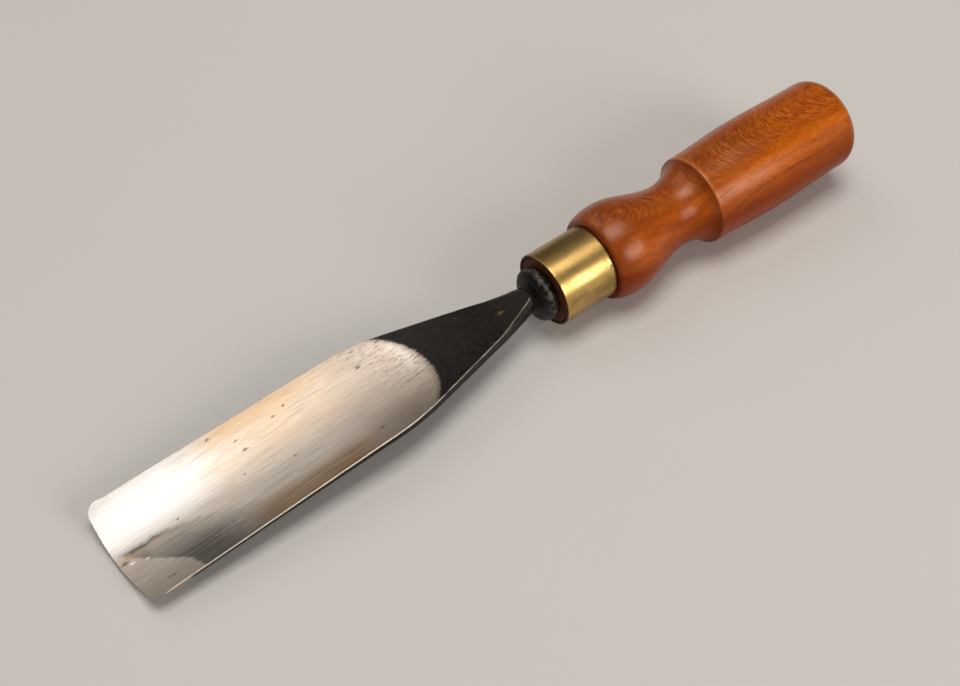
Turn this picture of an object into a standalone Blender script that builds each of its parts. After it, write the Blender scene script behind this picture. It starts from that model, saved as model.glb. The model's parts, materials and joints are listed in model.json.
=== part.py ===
"""A large tanged gouge: a forged blade with its bolster and tang, a brass ferrule and a turned handle.

Lengths are in metres and +Z is up. Each piece is made in the tool's own frame: X runs along the
handle's axis towards the cutting edge, X = 0 is the ferrule's front rim, and Z = 0 is the axis.
The tool then lies on its bulb and on the heel of its bevel, with its tip slightly down.
"""

import math

import bmesh
import bpy

# The tool at rest
TIP_DOWN_ANGLE = math.radians(2.29)
ORIGIN_TO_FERRULE = -0.0155
AXIS_HEIGHT = 0.01594

# Blade, seen from above
TIP_X = 0.1674
EDGE_BOW = 0.0016
EDGE_SKEW = -0.0007
CORNER_RADIUS = 0.0038
SHANK_START_X = 0.004
SHANK_ROOT_X = 0.008
SHANK_ROOT_HALF_WIDTH = 0.0043
SHANK_SPREAD = 0.265
SHOULDER_X = 0.067
BLADE_HALF_WIDTH = 0.0197
BLADE_SPREAD = 0.0168
SHOULDER_BLEND = 0.0025

# Blade, seen from the side
SHANK_TOP_X = 0.025
SHANK_TOP = 0.00215
SHANK_TOP_SLOPE = 0.010
SHANK_TOP_RISE = 0.00200
BLADE_TOP_X = 0.072
BLADE_TOP = 0.00275
BLADE_TOP_SLOPE = -0.0535
TOP_BLEND = 0.0006
BELLY_Z = -0.0045
BELLY_SLOPE = -0.0219
BLADE_BELLY_Z = -0.0059
BLADE_BELLY_SLOPE = -0.0395
SIDE_WALL_AT_TIP = 0.0012
SIDE_WALL_GAIN = 0.0041
SIDE_WALL_POWER = 1.9
HEEL_X = 0.158

# Trough along the top: one radius all along the blade, fading out along the shank
TROUGH_RADIUS = 0.046
TROUGH_FADE_START_X = 0.062
TROUGH_FADE_END_X = 0.014

# Broken corners along the top of the blade, wider beside the bolster
CORNER_BREAK = 0.00025
ROOT_CHAMFER_LENGTH = 0.025
ROOT_CHAMFER_WIDTH = 0.0017
ROOT_CHAMFER_DROP = 0.0011

# Outer bevel
BEVEL_ANGLE = math.radians(20)
EDGE_LAND = 0.00012

# Bolster and tang
BOLSTER_SEAT_X = 0.0003
BOLSTER_SEAT_RADIUS = 0.0080
BOLSTER_RIM_X = 0.0026
BOLSTER_RADIUS = 0.0098
BOLSTER_FACE_X = 0.0059
BOLSTER_FACE_RADIUS = 0.0066
BOLSTER_FRONT_X = 0.0084
BOLSTER_FRONT_RADIUS = 0.0043
TANG_LENGTH = 0.058
TANG_ROOT_X = 0.003
TANG_ROOT_SIDE = 0.0066
TANG_END_SIDE = 0.0030

# Ferrule
FERRULE_LENGTH = 0.0215
FERRULE_RADIUS = 0.0135
FERRULE_WALL = 0.0009
FERRULE_EDGE = 0.0003

# Handle
GAP = 0.0003
SEAT_RADIUS = FERRULE_RADIUS - FERRULE_WALL - GAP
NOSE_CORNER = 0.0003
TANG_HOLE_MOUTH_X = 0.002
SHOULDER_FACE_X = -FERRULE_LENGTH - GAP
SHOULDER_FACE_RADIUS = 0.0146
BULB_X = -0.0315
BULB_RADIUS = 0.0172
NECK_X = -0.0555
NECK_RADIUS = 0.0118
RIDGE_X = -0.0671
RIDGE_RADIUS = 0.0168
COVE_SWEEP = math.radians(70)
BARREL_X = -0.0960
BARREL_RADIUS = 0.0179
BARREL_END_RADIUS = 0.0172
BUTT_X = -0.1359
BUTT_CORNER = 0.0060
BUTT_SLOPE = math.radians(14.5)
BUTT_FLAT_RADIUS = 0.0060

# Fineness of the meshes. The stations are shares of the way from the bolster to the heel.
SHARP_EDGE_ANGLE = math.radians(28)
TURNED_SEGMENTS = 48
SHANK_STATIONS = (0.0, 0.04, 0.08, 0.13, 0.18, 0.24, 0.30, 0.35)
SHOULDER_STATIONS = (0.39, 0.42, 0.46, 0.52)
BLADE_STATIONS = (0.62, 0.74, 0.84, 0.92, 0.97)
HEEL_BOW_POWER = 8
ACROSS_BLADE = 18
CORNER_STEPS = 4


def clear_scene():
    for old in list(bpy.data.objects):
        bpy.data.objects.remove(old, do_unlink=True)


def make_material(name, colour, roughness, metallic):
    material = bpy.data.materials.new(name)
    material.use_nodes = True
    shader = material.node_tree.nodes["Principled BSDF"]
    shader.inputs["Base Color"].default_value = (*colour, 1.0)
    shader.inputs["Roughness"].default_value = roughness
    shader.inputs["Metallic"].default_value = metallic
    return material


def smaller_of(a, b, blend):
    """The smaller value, rounded over where the two are within blend of each other."""
    closeness = max(blend - abs(a - b), 0.0) / blend
    return min(a, b) - closeness * closeness * blend / 4


def rings_to_mesh(name, rings):
    """A closed body whose skin joins equal rings of points, with both end rings filled."""
    form = bmesh.new()
    loops = [[form.verts.new(point) for point in ring] for ring in rings]
    count = len(rings[0])
    for near, far in zip(loops, loops[1:]):
        for i in range(count):
            j = (i + 1) % count
            form.faces.new((near[i], near[j], far[j], far[i]))
    for ends in (loops[0], loops[-1]):
        fill_end(form, ends)
    bmesh.ops.recalc_face_normals(form, faces=form.faces)
    mesh = bpy.data.meshes.new(name)
    form.to_mesh(mesh)
    form.free()
    return mesh


def fill_end(form, ring):
    """Fills a ring with strips between its first half and its second half."""
    half = len(ring) // 2
    for i in range(half - 1):
        j = len(ring) - 1 - i
        form.faces.new((ring[i], ring[i + 1], ring[j - 1], ring[j]))


def turned_ring(x, radius):
    step = 2 * math.pi / TURNED_SEGMENTS
    return [
        (x, radius * math.cos(i * step), radius * math.sin(i * step))
        for i in range(TURNED_SEGMENTS)
    ]


def turned_mesh(name, profile):
    """A solid turned about X from a profile of (x, radius) points, with flat ends."""
    return rings_to_mesh(name, [turned_ring(x, radius) for x, radius in profile])


def add_object(name, mesh, material, parent):
    mesh.shade_smooth()
    mesh.set_sharp_from_angle(angle=SHARP_EDGE_ANGLE)
    mesh.materials.append(material)
    piece = bpy.data.objects.new(name, mesh)
    piece.parent = parent
    bpy.context.scene.collection.objects.link(piece)
    return piece


def add_helper(name, mesh, parent):
    """A hidden shape that a Boolean joins to a piece or cuts from it."""
    helper = bpy.data.objects.new(name, mesh)
    helper.parent = parent
    helper.hide_render = True
    helper.display_type = "WIRE"
    bpy.context.scene.collection.objects.link(helper)
    return helper


def add_boolean(piece, helper, operation):
    modifier = piece.modifiers.new(helper.name, "BOOLEAN")
    modifier.object = helper
    modifier.operation = operation
    modifier.solver = "EXACT"


def curve_between(start, end, steps):
    """(x, radius) points of a smooth S from one level stretch to another."""
    points = []
    for i in range(1, steps + 1):
        t = i / steps
        ease = t * t * (3 - 2 * t)
        x = start[0] + (end[0] - start[0]) * t
        points.append((x, start[1] + (end[1] - start[1]) * ease))
    return points


def quarter_curve(start, end, steps, leaves_along_axis, sweep=0.5 * math.pi):
    """(x, radius) points of a quarter ellipse that leaves start along the axis or square to it.

    A smaller sweep ends the curve before it has turned that far.
    """
    points = []
    for i in range(1, steps + 1):
        turn = sweep * i / steps
        along = math.sin(turn) / math.sin(sweep)
        outward = (1 - math.cos(turn)) / (1 - math.cos(sweep))
        if not leaves_along_axis:
            along, outward = outward, along
        x = start[0] + (end[0] - start[0]) * along
        points.append((x, start[1] + (end[1] - start[1]) * outward))
    return points


# ---------------------------------------------------------------- blade


def half_width(x):
    """Half the blade's width from above: a spreading shank, then nearly parallel sides."""
    shank = SHANK_ROOT_HALF_WIDTH + SHANK_SPREAD * (x - SHANK_ROOT_X)
    blade = BLADE_HALF_WIDTH + BLADE_SPREAD * (x - SHOULDER_X)
    return smaller_of(shank, blade, SHOULDER_BLEND)


def root_share(x):
    """1 at the bolster, falling to 0 where the shank's chamfers end."""
    span = ROOT_CHAMFER_LENGTH - SHANK_ROOT_X
    return max((ROOT_CHAMFER_LENGTH - x) / span, 0.0)


def side_top(x):
    """Height of the top's two side edges, before their corners are broken."""
    shank = SHANK_TOP + SHANK_TOP_SLOPE * (x - SHANK_TOP_X)
    blade = BLADE_TOP + BLADE_TOP_SLOPE * (x - BLADE_TOP_X)
    rise = SHANK_TOP_RISE * root_share(x) ** 2
    return smaller_of(shank, blade, TOP_BLEND) + rise


def trough_share(x):
    """How much of its full curve the trough has: 0 near the bolster, 1 along the blade."""
    share = (x - TROUGH_FADE_END_X) / (TROUGH_FADE_START_X - TROUGH_FADE_END_X)
    share = min(max(share, 0.0), 1.0)
    return share * share * (3 - 2 * share)


def top_surface(x, y):
    """Height of the hollow top, an arc from side edge to side edge."""
    side = math.sqrt(TROUGH_RADIUS**2 - half_width(x) ** 2)
    depth = math.sqrt(TROUGH_RADIUS**2 - y * y) - side
    return side_top(x) - depth * trough_share(x)


def side_wall(x):
    """Height of the blade's side wall, which thins towards the tip."""
    share = max(HEEL_X - x, 0.0) / (HEEL_X - SHANK_ROOT_X)
    return SIDE_WALL_AT_TIP + SIDE_WALL_GAIN * share**SIDE_WALL_POWER


def belly(x, y):
    """Height of the convex underside, an arc from wall to wall through the belly line."""
    shank = BELLY_Z + BELLY_SLOPE * (x - SHANK_ROOT_X)
    blade = BLADE_BELLY_Z + BLADE_BELLY_SLOPE * (x - BLADE_TOP_X)
    low = smaller_of(shank, blade, TOP_BLEND)
    rise = side_top(x) - side_wall(x) - low
    half = half_width(x)
    radius = (half * half + rise * rise) / (2 * rise)
    return low + radius - math.sqrt(radius * radius - y * y)


def edge_x(across):
    """X of the cutting edge: slightly bowed and out of square, with rounded corners."""
    half = half_width(TIP_X)
    over = max(abs(across) * half - (half - CORNER_RADIUS), 0.0)
    corner = CORNER_RADIUS - math.sqrt(max(CORNER_RADIUS**2 - over * over, 0.0))
    return TIP_X + EDGE_SKEW * across - EDGE_BOW * across * across - corner


def shares_across():
    """Places across the blade, closer together round the corners of the tip."""
    inner = 1 - CORNER_RADIUS / half_width(TIP_X)
    corner = [
        inner + (1 - inner) * math.sin(0.5 * math.pi * i / CORNER_STEPS)
        for i in range(1, CORNER_STEPS + 1)
    ]
    middle = [
        inner * (2 * i / ACROSS_BLADE - 1) for i in range(ACROSS_BLADE + 1)
    ]
    return [-share for share in reversed(corner)] + middle + corner


def bevel_length(across):
    """Length of the bevel, from the cutting edge back to its heel."""
    x = edge_x(across) - 0.5 * (TIP_X - HEEL_X)
    y = across * half_width(x)
    thickness = top_surface(x, y) - belly(x, y)
    return (thickness - EDGE_LAND) / math.tan(BEVEL_ANGLE)


def corner_break(x, wall):
    """Width and drop of the broken corner between the top and the side wall."""
    fine = CORNER_BREAK * min(wall / (4 * CORNER_BREAK), 1.0)
    share = root_share(x)
    return fine + ROOT_CHAMFER_WIDTH * share, fine + ROOT_CHAMFER_DROP * share


def station_x(across, part):
    """X of a station: straight across on the shank, and bowed like the cutting edge at the heel."""
    straight = SHANK_START_X + part * (HEEL_X - SHANK_START_X)
    heel = edge_x(across) - bevel_length(across)
    return straight + (heel - HEEL_X) * part**HEEL_BOW_POWER


def blade_ring(place_x, bevel_behind):
    """One loop of points round the blade.

    place_x gives X at a share across. bevel_behind gives the distance there behind the edge, or
    None where the bevel doesn't reach.
    """
    top, under = [], []
    for share in shares_across():
        x = place_x(share)
        half = half_width(x)
        surface = top_surface(x, share * half)
        floor = belly(x, share * half)
        if bevel_behind is not None:
            bevel = bevel_behind(share) * math.tan(BEVEL_ANGLE)
            floor = max(floor, surface - EDGE_LAND - bevel)
        width_cut, height_cut = corner_break(x, surface - floor)
        wall = (x, share * half, surface - height_cut)
        if share == -1:
            top.append(wall)
        top.append((x, share * (half - width_cut), surface))
        if share == 1:
            top.append(wall)
        under.append((x, share * half, floor))
    return top + under[::-1]


def blade_rings():
    rings = []
    for part in SHANK_STATIONS + SHOULDER_STATIONS + BLADE_STATIONS:
        rings.append(blade_ring(lambda across: station_x(across, part), None))
    rings.append(blade_ring(lambda across: station_x(across, 1.0), bevel_length))
    rings.append(blade_ring(edge_x, lambda across: 0.0))
    return rings


def bolster_mesh():
    """The forged collar that seats on the handle's nose: a thick disc with a rounded rim, and a
    hollow fillet in front of it."""
    seat = (BOLSTER_SEAT_X, BOLSTER_SEAT_RADIUS)
    rim = (BOLSTER_RIM_X, BOLSTER_RADIUS)
    face = (BOLSTER_FACE_X, BOLSTER_FACE_RADIUS)
    front = (BOLSTER_FRONT_X, BOLSTER_FRONT_RADIUS)
    profile = [seat]
    profile += quarter_curve(seat, rim, steps=4, leaves_along_axis=False)
    profile += quarter_curve(rim, face, steps=6, leaves_along_axis=True)
    profile += quarter_curve(face, front, steps=4, leaves_along_axis=False)
    return turned_mesh("bolster", profile)


def square_ring(x, side):
    half = side / 2
    return [(x, -half, half), (x, half, half), (x, half, -half), (x, -half, -half)]


def tang_mesh(name, root_x, end_x, grow):
    """A square spike that tapers into the handle, made wider all round by grow."""
    slope = (TANG_ROOT_SIDE - TANG_END_SIDE) / TANG_LENGTH
    root_side = TANG_ROOT_SIDE + slope * root_x + 2 * grow
    end_side = TANG_ROOT_SIDE + slope * end_x + 2 * grow
    return rings_to_mesh(name, [square_ring(root_x, root_side), square_ring(end_x, end_side)])


def make_blade(parent):
    steel = make_material(
        "blade_steel", colour=(0.62, 0.60, 0.57), roughness=0.30, metallic=1.0
    )
    blade = add_object("gouge_blade", rings_to_mesh("gouge_blade", blade_rings()), steel, parent)
    bolster = add_helper("bolster_form", bolster_mesh(), parent)
    tang = add_helper("tang_form", tang_mesh("tang", TANG_ROOT_X, -TANG_LENGTH, 0.0), parent)
    add_boolean(blade, bolster, "UNION")
    add_boolean(blade, tang, "UNION")


# ---------------------------------------------------------------- ferrule


def make_ferrule(parent):
    """A plain tube, with its four corners broken, that binds the handle's nose."""
    brass = make_material(
        "ferrule_brass", colour=(0.72, 0.52, 0.23), roughness=0.28, metallic=1.0
    )
    inner = FERRULE_RADIUS - FERRULE_WALL
    corner = FERRULE_EDGE
    back = -FERRULE_LENGTH
    section = (
        (-corner, FERRULE_RADIUS),
        (back + corner, FERRULE_RADIUS),
        (back, FERRULE_RADIUS - corner),
        (back, inner + corner),
        (back + corner, inner),
        (-corner, inner),
        (0.0, inner + corner),
        (0.0, FERRULE_RADIUS - corner),
    )
    form = bmesh.new()
    loops = [[form.verts.new(point) for point in turned_ring(x, r)] for x, r in section]
    for near, far in zip(loops, loops[1:] + loops[:1]):
        for i in range(TURNED_SEGMENTS):
            j = (i + 1) % TURNED_SEGMENTS
            form.faces.new((near[i], near[j], far[j], far[i]))
    bmesh.ops.recalc_face_normals(form, faces=form.faces)
    mesh = bpy.data.meshes.new("ferrule")
    form.to_mesh(mesh)
    form.free()
    add_object("ferrule", mesh, brass, parent)


# ---------------------------------------------------------------- handle


def bulb_profile():
    """From the step behind the ferrule, over the bulb, down to the neck."""
    step = (SHOULDER_FACE_X, SHOULDER_FACE_RADIUS)
    bulb = (BULB_X, BULB_RADIUS)
    points = [(SHOULDER_FACE_X, SEAT_RADIUS), step]
    points += quarter_curve(step, bulb, steps=6, leaves_along_axis=False)
    return points + curve_between(bulb, (NECK_X, NECK_RADIUS), steps=9)


def butt_profile():
    """A rounded corner that runs into a slightly domed end with a small flat."""
    steps = 5
    whole_turn = 0.5 * math.pi - BUTT_SLOPE
    edge_radius = BARREL_END_RADIUS - BUTT_CORNER * (1 - math.cos(whole_turn))
    dome = (edge_radius - BUTT_FLAT_RADIUS) * math.tan(BUTT_SLOPE)
    start_x = BUTT_X + dome + BUTT_CORNER * math.sin(whole_turn)
    points = []
    for i in range(steps + 1):
        turn = whole_turn * i / steps
        radius = BARREL_END_RADIUS - BUTT_CORNER * (1 - math.cos(turn))
        points.append((start_x - BUTT_CORNER * math.sin(turn), radius))
    return points + [(BUTT_X, BUTT_FLAT_RADIUS)]


def barrel_profile():
    """From the neck up the cove to the sharp ridge, then along the barrel to the butt."""
    ridge = (RIDGE_X, RIDGE_RADIUS)
    widest = (BARREL_X, BARREL_RADIUS)
    butt = butt_profile()
    neck = (NECK_X, NECK_RADIUS)
    points = quarter_curve(neck, ridge, steps=7, leaves_along_axis=True, sweep=COVE_SWEEP)
    points += curve_between(ridge, widest, steps=4)
    points += curve_between(widest, butt[0], steps=4)
    return points + butt[1:]


def make_handle(parent):
    """Turned fruitwood with a blind square hole for the tang, open at the nose."""
    wood = make_material(
        "handle_wood", colour=(0.42, 0.13, 0.03), roughness=0.32, metallic=0.0
    )
    nose = [(0.0, SEAT_RADIUS - NOSE_CORNER), (-NOSE_CORNER, SEAT_RADIUS)]
    profile = nose + bulb_profile() + barrel_profile()
    handle = add_object("handle", turned_mesh("handle", profile), wood, parent)
    hole = tang_mesh("tang_hole", TANG_HOLE_MOUTH_X, -TANG_LENGTH - GAP, GAP)
    add_boolean(handle, add_helper("tang_hole", hole, parent), "DIFFERENCE")


def main():
    clear_scene()
    tool = bpy.data.objects.new("gouge", None)
    tool.location = (ORIGIN_TO_FERRULE, 0.0, AXIS_HEIGHT)
    tool.rotation_euler = (0.0, TIP_DOWN_ANGLE, 0.0)
    bpy.context.scene.collection.objects.link(tool)
    make_blade(tool)
    make_ferrule(tool)
    make_handle(tool)


main()
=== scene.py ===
"""The looks of a large tanged gouge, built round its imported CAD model.

Lengths are in metres. Each piece is made in the tool's own frame and then placed by the tool's
pose: X runs along the handle's axis towards the cutting edge, X = 0 is the ferrule's front rim,
+Y is the near side and Z = 0 is the axis. The materials read the same frame, in millimetres.
"""

import json
import math

import bmesh
import bpy
from mathutils import Matrix, Quaternion, Vector, noise


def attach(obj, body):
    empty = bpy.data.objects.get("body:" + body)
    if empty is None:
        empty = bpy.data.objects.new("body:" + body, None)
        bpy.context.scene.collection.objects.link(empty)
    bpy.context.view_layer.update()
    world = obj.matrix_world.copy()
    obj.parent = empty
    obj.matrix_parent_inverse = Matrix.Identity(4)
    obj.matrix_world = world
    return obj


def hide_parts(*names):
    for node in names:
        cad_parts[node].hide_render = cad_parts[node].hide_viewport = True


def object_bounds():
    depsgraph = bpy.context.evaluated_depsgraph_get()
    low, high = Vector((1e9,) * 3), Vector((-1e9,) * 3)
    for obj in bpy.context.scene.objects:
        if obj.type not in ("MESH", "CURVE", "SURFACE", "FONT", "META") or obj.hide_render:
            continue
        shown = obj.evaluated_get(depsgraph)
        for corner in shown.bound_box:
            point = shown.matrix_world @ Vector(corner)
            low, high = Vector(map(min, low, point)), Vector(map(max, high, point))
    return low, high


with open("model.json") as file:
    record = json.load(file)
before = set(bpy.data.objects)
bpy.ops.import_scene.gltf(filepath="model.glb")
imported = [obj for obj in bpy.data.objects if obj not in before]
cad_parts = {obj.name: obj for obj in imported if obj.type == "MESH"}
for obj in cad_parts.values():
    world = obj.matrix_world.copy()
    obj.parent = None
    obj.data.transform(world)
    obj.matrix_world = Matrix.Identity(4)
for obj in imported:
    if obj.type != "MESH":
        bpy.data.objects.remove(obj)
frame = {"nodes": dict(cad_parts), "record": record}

CAD_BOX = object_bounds()

# Blade, seen from above
TIP_X = 0.1674
EDGE_BOW = 0.0016
EDGE_SKEW = -0.0007
CORNER_RADIUS = 0.0038
SHANK_START_X = 0.004
SHANK_ROOT_X = 0.008
SHANK_ROOT_HALF_WIDTH = 0.0043
SHANK_SPREAD = 0.265
SHOULDER_X = 0.067
BLADE_HALF_WIDTH = 0.0197
BLADE_SPREAD = 0.0168
SHOULDER_BLEND = 0.0025

# Blade, seen from the side
SHANK_TOP_X = 0.025
SHANK_TOP = 0.00215
SHANK_TOP_SLOPE = 0.010
SHANK_TOP_RISE = 0.00200
BLADE_TOP_X = 0.072
BLADE_TOP = 0.00275
BLADE_TOP_SLOPE = -0.0535
TOP_BLEND = 0.0006
BELLY_Z = -0.0045
BELLY_SLOPE = -0.0219
BLADE_BELLY_Z = -0.0059
BLADE_BELLY_SLOPE = -0.0395
SIDE_WALL_AT_TIP = 0.0012
SIDE_WALL_GAIN = 0.0041
SIDE_WALL_POWER = 1.9
HEEL_X = 0.158
HEEL_BOW_POWER = 8

# Trough, broken corners and bevel
TROUGH_RADIUS = 0.046
TROUGH_FADE_START_X = 0.062
TROUGH_FADE_END_X = 0.014
CORNER_BREAK = 0.00025
CORNER_BULGE = 0.00007
ROOT_CHAMFER_LENGTH = 0.025
ROOT_CHAMFER_WIDTH = 0.0017
ROOT_CHAMFER_DROP = 0.0011
BEVEL_ANGLE = math.radians(20)
EDGE_LAND = 0.00012

# Bolster, the fillet in front of it, and the tang
BOLSTER_SEAT_X = 0.0003
BOLSTER_SEAT_RADIUS = 0.0080
BOLSTER_RIM_X = 0.0026
BOLSTER_RADIUS = 0.0098
BOLSTER_FACE_X = 0.0059
BOLSTER_FACE_RADIUS = 0.0066
FILLET_END_X = 0.0104
FILLET_END_RADIUS = 0.0030
FORGED_BLEND = 0.0005
TANG_LENGTH = 0.058
TANG_ROOT_SIDE = 0.0066
TANG_END_SIDE = 0.0030
GAP = 0.0003
COLLAR_DENTS = 0.00016
SHANK_DENTS = 0.00005

# Ferrule
FERRULE_WALL = 0.0009
FERRULE_EDGE = 0.0003
FERRULE_WEAR = 0.000018
KNOCK_DEPTH = 0.00012

# Handle
NOSE_CORNER = 0.0003
SHOULDER_FACE_RADIUS = 0.0146
BULB = (-0.0315, 0.0172)
NECK = (-0.0555, 0.0118)
RIDGE = (-0.0671, 0.0168)
BARREL = (-0.0960, 0.0179)
BARREL_END_RADIUS = 0.0172
BUTT_CORNER = 0.0060
BUTT_SLOPE = math.radians(14.5)
BUTT_FLAT_RADIUS = 0.0060
COVE_SWEEP = math.radians(70)
RIDGE_ROUNDING = 0.0009

# Fineness of the meshes
ACROSS_BLADE = 44
TIP_CORNER_STEPS = 10
CORNER_POINTS = 6
WALL_POINTS = 8
BLADE_STATIONS = 124
BEVEL_RINGS = 5
HANDLE_SEGMENTS = 160
FERRULE_SEGMENTS = 192

# Where the polish of the trough ends: an arc across the blade, slightly aslant, in millimetres
POLISH_ARC_X = 69.9
POLISH_ARC_RADIUS = 20.86
POLISH_SLANT = 0.04

# The larger pits and nicks in the blade's top: X, Y and size, in millimetres
PITS = (
    (165.5, 1.1, 0.95),
    (156.9, 15.7, 0.50),
    (155.4, 15.9, 0.65),
    (144.7, -2.0, 0.30),
    (123.0, -18.6, 0.50),
    (119.5, -2.4, 0.35),
    (115.6, -13.6, 0.35),
    (114.6, -9.5, 0.75),
    (102.8, 2.2, 0.45),
    (101.0, -13.8, 0.40),
    (96.5, -15.0, 0.35),
    (75.8, 12.5, 0.55),
    (68.6, -12.3, 0.85),
)

# Small chips of clean steel beside the nick at the tip, painted pale as glints, in the same form
CHIP_GLINTS = (
    (163.5, 2.5, 0.62),
    (158.9, 3.9, 0.32),
)

# Camera and light
CAMERA_TARGET = (0.0081, -0.0050, 0.0)
CAMERA_DISTANCE = 0.5363
CAMERA_AZIMUTH = math.radians(53.41)
CAMERA_ELEVATION = math.radians(50.39)
CAMERA_ROLL = math.radians(-0.32)
SENSOR_WIDTH = 36.0
FOCAL_LENGTH = 58.125
WARM_WHITE = (1.0, 0.94, 0.88)
FLOOR_Z = -0.0001
FLOOR_SIZE = 8.0


# ---------------------------------------------------------------- shapes


def ease(share):
    """0 below 0, 1 above 1, and a smooth S between."""
    share = min(max(share, 0.0), 1.0)
    return share * share * (3 - 2 * share)


def smaller_of(a, b, blend):
    """The smaller value, rounded over where the two are within blend of each other."""
    closeness = max(blend - abs(a - b), 0.0) / blend
    return min(a, b) - closeness * closeness * blend / 4


def larger_of(a, b, blend):
    return -smaller_of(-a, -b, blend)


def curve_between(start, end, steps):
    """(x, radius) points of a smooth S from one level stretch to another."""
    points = []
    for i in range(1, steps + 1):
        share = i / steps
        x = start[0] + (end[0] - start[0]) * share
        points.append((x, start[1] + (end[1] - start[1]) * ease(share)))
    return points


def quarter_curve(start, end, steps, leaves_along_axis, sweep=0.5 * math.pi):
    """(x, radius) points of a quarter ellipse that leaves start along the axis or square to it.

    A smaller sweep ends the curve before it has turned that far.
    """
    points = []
    for i in range(1, steps + 1):
        turn = sweep * i / steps
        along = math.sin(turn) / math.sin(sweep)
        outward = (1 - math.cos(turn)) / (1 - math.cos(sweep))
        if not leaves_along_axis:
            along, outward = outward, along
        x = start[0] + (end[0] - start[0]) * along
        points.append((x, start[1] + (end[1] - start[1]) * outward))
    return points


def round_corner(profile, index, size, steps=6):
    """The profile with one corner replaced by a small curve that starts size before it."""
    before, corner, after = (Vector(profile[i]) for i in (index - 1, index, index + 1))
    start = corner + (before - corner).normalized() * min(size, (before - corner).length * 0.9)
    end = corner + (after - corner).normalized() * min(size, (after - corner).length * 0.9)
    arc = []
    for i in range(steps + 1):
        t = i / steps
        point = start * (1 - t) ** 2 + corner * 2 * t * (1 - t) + end * t * t
        arc.append(tuple(point))
    return profile[:index] + arc + profile[index + 1 :]


def skin_rings(form, rings):
    """Joins each ring of points to the next with quads, and returns the rings' vertices."""
    loops = [[form.verts.new(point) for point in ring] for ring in rings]
    count = len(rings[0])
    for near, far in zip(loops, loops[1:]):
        for i in range(count):
            j = (i + 1) % count
            form.faces.new((near[i], near[j], far[j], far[i]))
    return loops


def fill_with_fan(form, loop):
    centre = form.verts.new(sum((vert.co for vert in loop), Vector()) / len(loop))
    for i, vert in enumerate(loop):
        form.faces.new((vert, loop[(i + 1) % len(loop)], centre))


def turned_ring(x, radius, segments):
    step = 2 * math.pi / segments
    return [
        (x, radius * math.cos(i * step), radius * math.sin(i * step)) for i in range(segments)
    ]


def keep_in_box(form):
    """Trims the hundredths of a millimetre by which these finer meshes pass the CAD box."""
    low, high = CAD_BOX
    for vert in form.verts:
        vert.co = [min(max(vert.co[i], low[i]), high[i]) for i in range(3)]


def finish_piece(name, form, pose, material, sharp_angle, node):
    """Makes the piece, places it, hangs it under the root body and hides the CAD node that it
    stands for.
    """
    bmesh.ops.recalc_face_normals(form, faces=form.faces)
    form.transform(pose)
    keep_in_box(form)
    mesh = bpy.data.meshes.new(name)
    form.to_mesh(mesh)
    form.free()
    mesh.shade_smooth()
    mesh.set_sharp_from_angle(angle=math.radians(sharp_angle))
    mesh.materials.append(material)
    piece = bpy.data.objects.new(name, mesh)
    bpy.context.scene.collection.objects.link(piece)
    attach(piece, "root")
    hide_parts(node)
    return piece


def tool_pose():
    """The tool's own frame, from the record's butt face and the ferrule's front rim."""
    mounts = {mount["name"]: mount for mount in frame["record"]["mounts"]}
    along = -Vector(mounts["butt_face"]["axis"]).normalized()
    up = along.cross(Vector((0, 1, 0)))
    butt = Vector(mounts["butt_face"]["pos_m"])
    ferrule = frame["nodes"]["ferrule"].data
    reach = max((vert.co - butt).dot(along) for vert in ferrule.vertices)
    turn = Matrix((along, up.cross(along), up)).transposed()
    return Matrix.Translation(butt + reach * along) @ turn.to_4x4()


def extent(node, pose):
    """Lowest and highest corners of a CAD node in the tool's own frame."""
    inverse = pose.inverted()
    points = [inverse @ vert.co for vert in frame["nodes"][node].data.vertices]
    low = Vector(min(point[i] for point in points) for i in range(3))
    high = Vector(max(point[i] for point in points) for i in range(3))
    return low, high


# ---------------------------------------------------------------- blade


def half_width(x):
    """Half the blade's width from above: a spreading shank, then nearly parallel sides."""
    shank = SHANK_ROOT_HALF_WIDTH + SHANK_SPREAD * (x - SHANK_ROOT_X)
    blade = BLADE_HALF_WIDTH + BLADE_SPREAD * (x - SHOULDER_X)
    return smaller_of(shank, blade, SHOULDER_BLEND)


def root_share(x):
    """1 at the bolster, falling to 0 where the shank's chamfers end."""
    share = (ROOT_CHAMFER_LENGTH - x) / (ROOT_CHAMFER_LENGTH - SHANK_ROOT_X)
    return min(max(share, 0.0), 1.0)


def side_top(x):
    """Height of the top's two side edges, before their corners are broken."""
    shank = SHANK_TOP + SHANK_TOP_SLOPE * (x - SHANK_TOP_X)
    blade = BLADE_TOP + BLADE_TOP_SLOPE * (x - BLADE_TOP_X)
    return smaller_of(shank, blade, TOP_BLEND) + SHANK_TOP_RISE * root_share(x) ** 2


def top_surface(x, y):
    """Height of the hollow top, an arc from side edge to side edge that fades along the shank."""
    share = ease((x - TROUGH_FADE_END_X) / (TROUGH_FADE_START_X - TROUGH_FADE_END_X))
    side = math.sqrt(TROUGH_RADIUS**2 - half_width(x) ** 2)
    return side_top(x) - (math.sqrt(TROUGH_RADIUS**2 - y * y) - side) * share


def side_wall(x):
    """Height of the blade's side wall, which thins towards the tip."""
    share = max(HEEL_X - x, 0.0) / (HEEL_X - SHANK_ROOT_X)
    return SIDE_WALL_AT_TIP + SIDE_WALL_GAIN * min(share, 1.0) ** SIDE_WALL_POWER


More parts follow.
